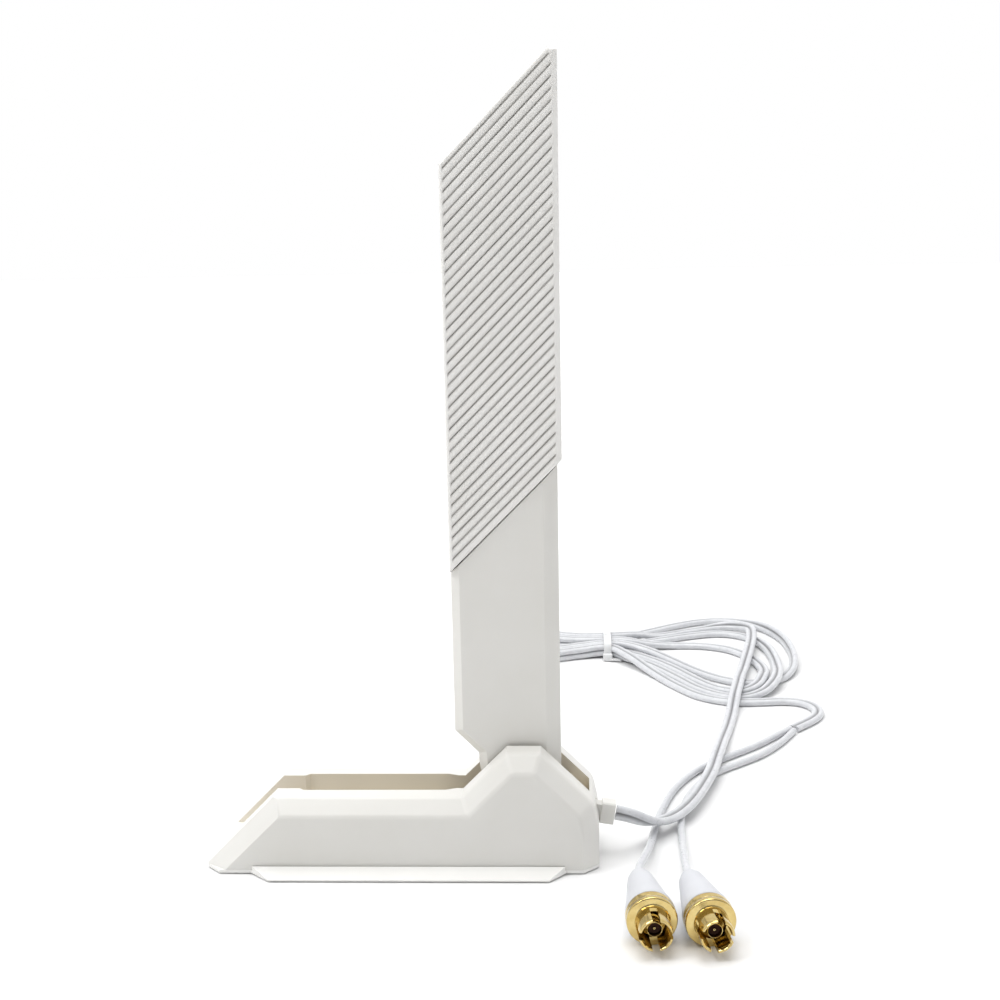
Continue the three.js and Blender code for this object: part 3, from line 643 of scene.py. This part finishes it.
def twin_section():
    """The outline of two touching cores with a thin web between them, as (across, up)."""
    radius = CORE / 2
    web = math.radians(WEB_ANGLE)
    outline = []
    for side in (1, -1):
        for i in range(CORE_POINTS + 1):
            turn = -math.pi + web + 2 * (math.pi - web) * i / CORE_POINTS
            across = side * (radius + radius * math.cos(turn))
            outline.append((across, side * radius * math.sin(turn)))
    return outline


def round_section(sides=14):
    """The outline of one core."""
    turns = [2 * math.pi * i / sides for i in range(sides)]
    return [(CORE / 2 * math.cos(turn), CORE / 2 * math.sin(turn)) for turn in turns]


def swept(name, route, section, depths, material):
    """A closed tube of the section along the route, whose points are x, y, z and the tilt."""
    points = []
    faces = []
    sides = len(section)
    for i, knot in enumerate(route):
        ahead = (route[min(i + 1, len(route) - 1)] - route[max(i - 1, 0)]).xyz.normalized()
        side = ahead.cross(Vector((0, 0, 1))).normalized()
        above = side.cross(ahead)
        tilt = math.radians(knot[3])
        across = side * math.cos(tilt) + above * math.sin(tilt)
        up = across.cross(ahead)
        points += [knot.xyz + across * a + up * b for a, b in section]
    for i in range(len(route) - 1):
        for k in range(sides):
            n = (k + 1) % sides
            faces.append((i * sides + k, i * sides + n, (i + 1) * sides + n, (i + 1) * sides + k))
    last = (len(route) - 1) * sides
    faces.append(tuple(range(sides)))
    faces.append(tuple(range(last, last + sides)))
    mesh = mesh_from(name, points, faces)
    paint_depth(mesh, depths * len(route))
    smooth(mesh, TUBE_CRISP)
    return new_object(name, mesh, material)


low, middle, high = LAYERS
flat_low = [low] * FOLD_POINTS
flat_middle = [middle] * FOLD_POINTS
climb = [middle, 0.0039, 0.005]
over_a_strand = [*climb, high, high, high, *reversed(climb)]
lead_points = (
    LEAD_TO_HANK
    + LEAD_OVER_HANK
    + hidden_loop(1, 0, flat_middle)
    + OUTER_TURN
    + hidden_loop(1, 1, flat_low)
    + MIDDLE_TURN
    + hidden_loop(0, 0, flat_low)
    + INNER_TURN
    + hidden_loop(0, 1, over_a_strand)
    + LAST_RUN
    + LEAD_FROM_HANK
)
lead_route = smooth_route(lead_points, STEP)
lead_section = twin_section()
web_painted_shade = [max(0, 1 - WEB_SHADE * abs(across) / CORE) for across, _ in lead_section]
lead = swept("twin_lead", lead_route, lead_section, web_painted_shade, JACKET)
settle(lead, "base")
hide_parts("lead_to_hank", "lead_hank", "lead_from_hank")

CORE_ROUTES = {"left": CORE_LEFT, "right": CORE_RIGHT}
for name, points in CORE_ROUTES.items():
    route = smooth_route([(*point, 0) for point in points], STEP)
    section = round_section()
    core = swept(f"single_core_{name}", route, section, [0] * len(section), JACKET)
    settle(core, "base")
    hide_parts(f"core_{name}")


# ---------------------------------------------------------------- connectors
# Sizes are in millimetres. A profile is (radius, distance from the boot's tail), closed on itself.
FLANGE_FRONT = 24.2
PLUG_HEIGHT = 6.2
SLOT_HALF = 0.9
SLOT_FROM = FLANGE_FRONT + 1.2
PAST_SLEEVE = 40
SLEEVE_EDGE = 0.12 * MM
BOOT_PROFILE = [
    (1.2, 0.0), (1.9, 0.0), (2.25, 0.2), (2.4, 0.6), (2.45, 1.7), (2.55, 1.95), (3.0, 2.3),
    (3.25, 2.9), (3.6, 5.0), (4.3, 9.5), (5.0, 14.0), (5.6, 17.8), (5.8, 18.5), (5.95, 19.6),
    (5.85, 20.2), (5.4, 20.4), (3.2, 20.4), (2.9, 14.0), (2.6, 8.0), (1.2, 6.0),
]
SLEEVE_PROFILE = [
    (2.2, 20.7), (5.7, 20.7), (6.05, 20.82), (6.1, 21.1), (6.1, 22.4), (6.02, 22.5),
    (6.02, 22.7), (6.1, 22.8), (6.1, 23.8), (5.95, 24.1), (5.6, 24.2),
    (4.5, 24.2), (4.2, 24.35), (4.1, 24.7), (4.1, 27.0), (4.1, 29.0), (4.12, 30.3), (4.05, 31.0),
    (3.85, 31.28), (3.6, 31.3), (3.4, 31.1), (3.3, 30.6), (3.3, 24.2), (3.05, 23.95), (2.2, 23.7),
]
INNER_TUBE_PROFILE = [
    (1.62, 21.7), (1.88, 21.7), (1.88, 25.6), (1.8, 25.7), (1.8, 26.0), (1.88, 26.1),
    (1.88, 27.9), (1.84, 28.06), (1.76, 28.1), (1.68, 28.06), (1.62, 27.9),
]
INSULATOR_PROFILE = [
    (0.42, 21.2), (1.5, 21.2), (1.5, 27.0), (1.4, 27.2), (0.6, 27.25), (0.46, 27.15),
    (0.42, 26.95),
]
CONTACT_PROFILE = [
    (0.12, 21.0), (0.3, 21.0), (0.3, 27.3), (0.26, 27.45), (0.16, 27.45), (0.12, 27.3),
]
FERRULE_PROFILE = [
    (1.3, 7.5), (2.1, 7.5), (2.1, 16.0), (2.7, 16.4), (2.7, 20.4), (1.3, 20.4),
]


def lathe(name, profile, sides):
    """A solid turned about Y from a profile."""
    points = []
    faces = []
    count = len(profile)
    for i in range(sides):
        turn = 2 * math.pi * i / sides
        points += [(r * math.cos(turn) * MM, t * MM, r * math.sin(turn) * MM) for r, t in profile]
    for i in range(sides):
        n = (i + 1) % sides
        for k in range(count):
            m = (k + 1) % count
            faces.append((i * count + k, i * count + m, n * count + m, n * count + k))
    mesh = bpy.data.meshes.new(name)
    mesh.from_pydata(points, [], faces)
    shape = bmesh.new()
    shape.from_mesh(mesh)
    bmesh.ops.remove_doubles(shape, verts=shape.verts, dist=WELD / 2)
    bmesh.ops.dissolve_degenerate(shape, edges=shape.edges, dist=WELD / 4)
    bmesh.ops.recalc_face_normals(shape, faces=shape.faces)
    shape.to_mesh(mesh)
    shape.free()
    return mesh


def place_along(piece, x, y, z, swing):
    """Puts a turned piece, made along +Y, on its connector: nose towards -Y, swung a little."""
    turn = Matrix.Rotation(math.pi - swing, 4, "Z")
    piece.data.transform(Matrix.Translation((x * MM, y * MM, z * MM)) @ turn)


def connector(name, x, y, swing, slot_turn):
    """One plug with its tail at x, y. The sleeve's cross of slots is turned by slot_turn degrees."""
    pieces = {}

    def turned(part, profile, material, sides=64):
        """A turned part of the plug, still at the origin."""
        mesh = lathe(f"{part}_{name}", profile, sides)
        piece = new_object(f"{part}_{name}_fine", mesh, material)
        smooth(piece.data, CRISP)
        pieces[part] = piece
        return piece

    turned("boot", BOOT_PROFILE, BOOT_RUBBER, 72)
    turned("crimp_ferrule", FERRULE_PROFILE, GOLD)
    sleeve = turned("coupling_sleeve", SLEEVE_PROFILE, GOLD, 96)
    for across in (0, 90):
        low = (-PAST_SLEEVE, SLOT_FROM, -SLOT_HALF)
        slot_box = box_mesh("slot", low, (PAST_SLEEVE, PAST_SLEEVE, SLOT_HALF))
        slot_box.transform(Matrix.Rotation(math.radians(slot_turn + across), 4, "Y"))
        cut(sleeve, slot_box)
    bevelled(sleeve, SLEEVE_EDGE, 2, CRISP)
    turned("inner_tube", INNER_TUBE_PROFILE, GOLD)
    turned("insulator", INSULATOR_PROFILE, INSULATOR, 48)
    turned("contact", CONTACT_PROFILE, GOLD, 24)
    for part, piece in pieces.items():
        place_along(piece, x, y, PLUG_HEIGHT, swing)
        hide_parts(f"{part}_{name}")
        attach(piece, "base")
    return pieces


connectors = {
    "left": connector("left", 61.6, -27.57, -0.086, 0),
    "right": connector("right", 74.1, -28.26, -0.136, -12),
}


# ---------------------------------------------------------------- base, stem and strain relief
TROUGH_HALF = 0.0058
TROUGH_FLOOR = 0.0063
COVER_BELOW = 0.00085  # the bottom cover's top face is above this
COVER_RISE = 0.00026  # what closes the gap to the shell down to a hairline
OUTSIDE_FROM = 0.0099  # the shell's outer edges are at least this far from its middle plane
OUTSIDE_EDGE = 0.0009
INNER_EDGE = 0.0002
COVER_EDGE = 0.00015
RELIEF_EDGE = 0.0003
STEM_EDGE = 0.0002


def paint_trough_light_and_shade(shell):
    """Gives the walls and floor of the trough their own material, which paints in the warm bounce light
    and the shade inside the trough.
    """
    shell.data.materials.append(TROUGH_PAINTED_LIGHT_AND_SHADE)
    for face in shell.data.polygons:
        corners = [shell.data.vertices[i].co for i in face.vertices]
        if all(abs(corner.y) < TROUGH_HALF and corner.z > TROUGH_FLOOR for corner in corners):
            face.material_index = 1


base_shell = moulded_from(
    "base_shell", WHITE_PLASTIC, INNER_EDGE, outside=(OUTSIDE_FROM, OUTSIDE_EDGE)
)
paint_trough_light_and_shade(base_shell)
settle(base_shell, "base")
bottom_cover = moulded_from("bottom_cover", BOTTOM_COVER_PAINTED_LIGHT, COVER_EDGE)
for vertex in bottom_cover.data.vertices:
    if vertex.co.z > COVER_BELOW:
        vertex.co.z += COVER_RISE
settle(bottom_cover, "base")
strain_relief = moulded_from("strain_relief", WHITE_PLASTIC, RELIEF_EDGE)
settle(strain_relief, "base")
for side in ("front", "rear"):
    stem = moulded_from(f"stem_shell_{side}", WHITE_PLASTIC, STEM_EDGE)
    settle(stem, "blade")


# ---------------------------------------------------------------- ribbed blade
# Sizes are in millimetres. The blade's ends are cut at 45 degrees, so a height w is counted from the
# slanted line z = x - COVER_LEFT.
COVER_LEFT = 14.0
COVER_RIGHT = 43.35
COVER_LOW = 78.5
COVER_TOP = 181.7
APEX_X = 40.9
COVER_HALF = 3.9
EDGE = 0.8  # the radius of the outer edges
CLIP_SLOPE = 1.286  # how steeply w falls past the apex
BEVEL_FROM = 42.1
BEVEL_HALF = 3.0
RIB_LEFT = 14.8
RIB_RIGHT = 42.1
RIB_FADE = 0.35
RIB_PITCH = 2.81
RIB_DEPTH = 0.75
RIB_MARGIN = 1.2
CREST_RISE = 1.16
CREST_CUT = 0.98
CREST_POWER = 2.2
ROWS_PER_RIB = 14
SEAM_HALF = 0.15
WALL = 1.0
CAVITY_HALF = 2.9
ROOF = 3.6
MOUTH_INSET = 1.6
MOUTH_HALF = 6
SQUEEZED_ROWS = 8.0  # this much of the blade's top follows the clipped corner


def top_edge(x):
    """Height of the blade's top edge."""
    return COVER_TOP - max(x - APEX_X, 0) * CLIP_SLOPE


def rounding(distance):
    """How far the face falls back this near an edge."""
    if distance >= EDGE:
        return 0.0
    return EDGE * (1 - math.sqrt(max(1 - (1 - distance / EDGE) ** 2, 0)))


def rib_wave(w):
    """1 on a rib's crest, 0 at the bottom of a groove: broad round ribs and narrow grooves."""
    from_crest = abs(2 * (((w - COVER_LOW) / RIB_PITCH) % 1.0) - 1)
    return CREST_RISE * math.sqrt(1 - CREST_CUT * from_crest**CREST_POWER) - CREST_RISE + 1


def ribbing(x, w):
    """How far the grooves cut in at this place, from 0 on the plain margins and the crests to 1."""
    rise = min((x - RIB_LEFT) / RIB_FADE, (RIB_RIGHT - x) / RIB_FADE)
    low_margin = (w - COVER_LOW - RIB_MARGIN) / RIB_FADE
    high_margin = (top_edge(x) - w - RIB_MARGIN) / RIB_FADE
    share = min(max(min(rise, low_margin, high_margin), 0), 1)
    return share * (1 - rib_wave(w))


def cover_half_thickness(x, w):
    """From the blade's middle plane out to the skin."""
    from_edge = min(
        x - COVER_LEFT,
        (w - COVER_LOW) / math.sqrt(2),
        (top_edge(x) - w) / math.sqrt(2),
    )
    half = COVER_HALF - rounding(max(from_edge, 0))
    if x > BEVEL_FROM:
        share = (x - BEVEL_FROM) / (COVER_RIGHT - BEVEL_FROM)
        half = min(half, COVER_HALF + (BEVEL_HALF - COVER_HALF) * share)
    return half - RIB_DEPTH * ribbing(x, w)


def cover_columns():
    """The mesh's x positions, close together at the two upright edges."""
    left = [COVER_LEFT + step for step in (0, 0.06, 0.2, 0.4, 0.6, 0.8, 0.95, 1.12, 1.3)]
    middle = [left[-1] + (APEX_X - left[-1]) * i / 12 for i in range(1, 13)]
    steps = (2.05, 1.75, 1.55, 1.35, 1.15, 0.95, 0.75, 0.5, 0.25, 0)
    right = [COVER_RIGHT - step for step in steps]
    return left + middle + right


def cover_rows():
    """The mesh's heights above COVER_LOW, fine enough for the ribs and finer at both ends."""
    end_rows = [0, 0.1, 0.3, 0.6, 0.9, RIB_MARGIN]
    tall = COVER_TOP - COVER_LOW
    count = int(tall / RIB_PITCH * ROWS_PER_RIB)
    ribbed = [RIB_MARGIN + (tall - 2 * RIB_MARGIN) * i / count for i in range(1, count)]
    return end_rows + ribbed + [tall - row for row in reversed(end_rows)]


def row_height(x, row):
    """The height of a row of the mesh: the last few squeeze together under the clipped corner."""
    squeezed_from = COVER_TOP - COVER_LOW - SQUEEZED_ROWS
    if row <= squeezed_from:
        return COVER_LOW + row
    room = top_edge(x) - COVER_LOW - squeezed_from
    return COVER_LOW + squeezed_from + (row - squeezed_from) * room / SQUEEZED_ROWS


def cover_outer(side):
    """The outer skin of one half, closed by a flat face at the seam between the halves."""
    columns = cover_columns()
    rows = cover_rows()
    points = []
    faces = []
    depths = []
    for x in columns:
        for row in rows:
            w = row_height(x, row)
            z = w + x - COVER_LEFT
            points.append((x * MM, side * cover_half_thickness(x, w) * MM, z * MM))
            depths.append(ribbing(x, w))
    tall = len(rows)
    for i in range(len(columns) - 1):
        for k in range(tall - 1):
            a = i * tall + k
            faces.append((a, a + 1, a + tall + 1, a + tall))
    rim = [i * tall for i in range(len(columns))]
    rim += [(len(columns) - 1) * tall + k for k in range(1, tall)]
    rim += [i * tall + tall - 1 for i in range(len(columns) - 2, -1, -1)]
    rim += [k for k in range(tall - 2, 0, -1)]
    first = len(points)
    points += [(points[i][0], side * SEAM_HALF * MM, points[i][2]) for i in rim]
    for k in range(len(rim)):
        n = (k + 1) % len(rim)
        faces.append((rim[k], rim[n], first + n, first + k))
    faces.append(tuple(range(first, first + len(rim))))
    return points, faces, depths + [0] * len(rim)


def slanted_prism(left, right, low, high, half):
    """A cutting block between two upright edges and two 45 degree ones."""
    outline = [
        (left, low + left - COVER_LEFT),
        (right, low + right - COVER_LEFT),
        (right, high + right - COVER_LEFT),
        (left, high + left - COVER_LEFT),
    ]
    points = [(x * MM, y * MM, z * MM) for y in (-half, half) for x, z in outline]
    faces = [(0, 1, 2, 3), (7, 6, 5, 4), (0, 4, 5, 1), (1, 5, 6, 2), (2, 6, 7, 3), (3, 7, 4, 0)]
    return mesh_from("cutting_block", points, faces)


def make_cover(side_name, side):
    """One half of the ribbed cover, hollow and open at the bottom where it goes over the stem."""
    name = f"ribbed_cover_{side_name}"
    points, faces, depths = cover_outer(side)
    cover = new_object(f"{name}_moulded", mesh_from(name, points, faces), RIBBED_PAINTED_LIGHT_AND_SHADE)
    paint_depth(cover.data, depths)
    cavity = slanted_prism(
        COVER_LEFT + WALL,
        COVER_RIGHT - WALL,
        COVER_LOW + WALL * math.sqrt(2),
        COVER_TOP - ROOF,
        CAVITY_HALF,
    )
    mouth = slanted_prism(
        COVER_LEFT + MOUTH_INSET,
        COVER_RIGHT - MOUTH_INSET,
        COVER_LOW - 1.5 * MOUTH_HALF,
        COVER_LOW + MOUTH_HALF,
        CAVITY_HALF,
    )
    cut(cover, cavity)
    cut(cover, mouth)
    smooth(cover.data, CRISP)
    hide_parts(name)
    settle(cover, "blade")


make_cover("front", -1)
make_cover("rear", 1)


# ---------------------------------------------------------------- the tie round the hank
# Sizes are in millimetres.
TIE_MIDDLE = TIE_X / MM
TIE_WIDTH = 2.9
TIE_THICK = 0.8
TIE_LOW_Y = 168.05
TIE_HIGH_Y = 190.45
TIE_LOW_Z = 0.45
TIE_HIGH_Z = 6.5
TIE_CORNER = 2.2
STRAP_EDGE = 0.15
HEAD_HALF = 1.8
HEAD_Y = (165.9, 168.4)
HEAD_Z = (0.2, 2.9)
HEAD_EDGE = 0.5 * MM
TAIL_Z = (0.5, 1.3)
TAIL_EDGE = 0.15 * MM


def tie_loop():
    """The middle line of the strap in Y and Z: a rectangle with round corners, as (y, z)."""
    corners = [
        (TIE_HIGH_Y - TIE_CORNER, TIE_HIGH_Z - TIE_CORNER, 0),
        (TIE_LOW_Y + TIE_CORNER, TIE_HIGH_Z - TIE_CORNER, 90),
        (TIE_LOW_Y + TIE_CORNER, TIE_LOW_Z + TIE_CORNER, 180),
        (TIE_HIGH_Y - TIE_CORNER, TIE_LOW_Z + TIE_CORNER, 270),
    ]
    loop = []
    for y, z, start in corners:
        for i in range(7):
            turn = math.radians(start + 15 * i)
            loop.append((y + TIE_CORNER * math.cos(turn), z + TIE_CORNER * math.sin(turn)))
    return loop


def strap_section():
    """Across the strap and out of it: a flat band with round edges."""
    half = TIE_WIDTH / 2
    thick = TIE_THICK / 2
    flat = half - STRAP_EDGE
    side = 0.4 * thick
    return [
        (-half, -side), (-flat, -thick), (flat, -thick), (half, -side),
        (half, side), (flat, thick), (-flat, thick), (-half, side),
    ]


def strap_shape():
    """The points and faces of the strap's closed loop."""
    loop = tie_loop()
    section = strap_section()
    count = len(loop)
    sides = len(section)
    points = []
    faces = []
    for i, (y, z) in enumerate(loop):
        before = Vector(loop[i - 1])
        after = Vector(loop[(i + 1) % count])
        along = (after - before).normalized()
        for across, away in section:
            place = (TIE_MIDDLE + across, y + along.y * away, z - along.x * away)
            points.append([value * MM for value in place])
    for i in range(count):
        n = (i + 1) % count
        for k in range(sides):
            m = (k + 1) % sides
            faces.append((i * sides + k, i * sides + m, n * sides + m, n * sides + k))
    return points, faces


def tail_shape():
    """The strap's cropped end, pointing out of the head towards the right and the front."""
    outline = [(0.6, 167.4), (0.9, 165.4), (4.6, 164.6), (5.2, 164.9), (4.4, 165.7), (2.6, 167.2)]
    points = [((TIE_MIDDLE + x) * MM, y * MM, z * MM) for z in TAIL_Z for x, y in outline]
    count = len(outline)
    faces = [tuple(range(count)), tuple(range(count, 2 * count))]
    faces += [(i, (i + 1) % count, count + (i + 1) % count, count + i) for i in range(count)]
    return points, faces


def make_tie():
    """The strap, its head and its tail, which together replace the plain tie."""
    strap = new_object("tie_strap", mesh_from("tie_strap", *strap_shape()), TIE_PLASTIC)
    smooth(strap.data, CRISP)
    low = (TIE_MIDDLE - HEAD_HALF, HEAD_Y[0], HEAD_Z[0])
    high = (TIE_MIDDLE + HEAD_HALF, HEAD_Y[1], HEAD_Z[1])
    head = new_object("tie_head", box_mesh("tie_head", low, high), TIE_PLASTIC)
    bevelled(head, HEAD_EDGE, 3, CRISP)
    tail = new_object("tie_tail", mesh_from("tie_tail", *tail_shape()), TIE_PLASTIC)
    bevelled(tail, TAIL_EDGE, 2, CRISP)
    for piece in (strap, head, tail):
        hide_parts("cable_tie")
        settle(piece, "base")
    return strap, head, tail


tie_pieces = make_tie()


# ---------------------------------------------------------------- hidden CAD pieces
CARRIED_OVER = {
    "acetal": (ACETAL, ["hinge_bush_front", "hinge_bush_rear"]),
    "grey_rubber": (GREY_RUBBER, [f"rubber_pad_{i}" for i in range(1, 5)]),
    "circuit_board": (CIRCUIT_BOARD, ["antenna_board_lower", "antenna_board_upper"]),
    "cable_jacket": (
        JACKET,
        [f"coax_in_{where}_{side}" for where in ("base", "blade") for side in ("front", "rear")],
    ),
    "steel": (
        STEEL,
        [f"base_screw_{i}" for i in range(1, 5)]
        + ["ballast_plate", "ballast_bar_front", "ballast_bar_rear"]
        + [f"{part}_{side}" for part in ("wave_washer", "hinge_pin") for side in ("front", "rear")],
    ),
}
for material, nodes in CARRIED_OVER.values():
    for node in nodes:
        NODES[node].data.materials.clear()
        NODES[node].data.materials.append(material)
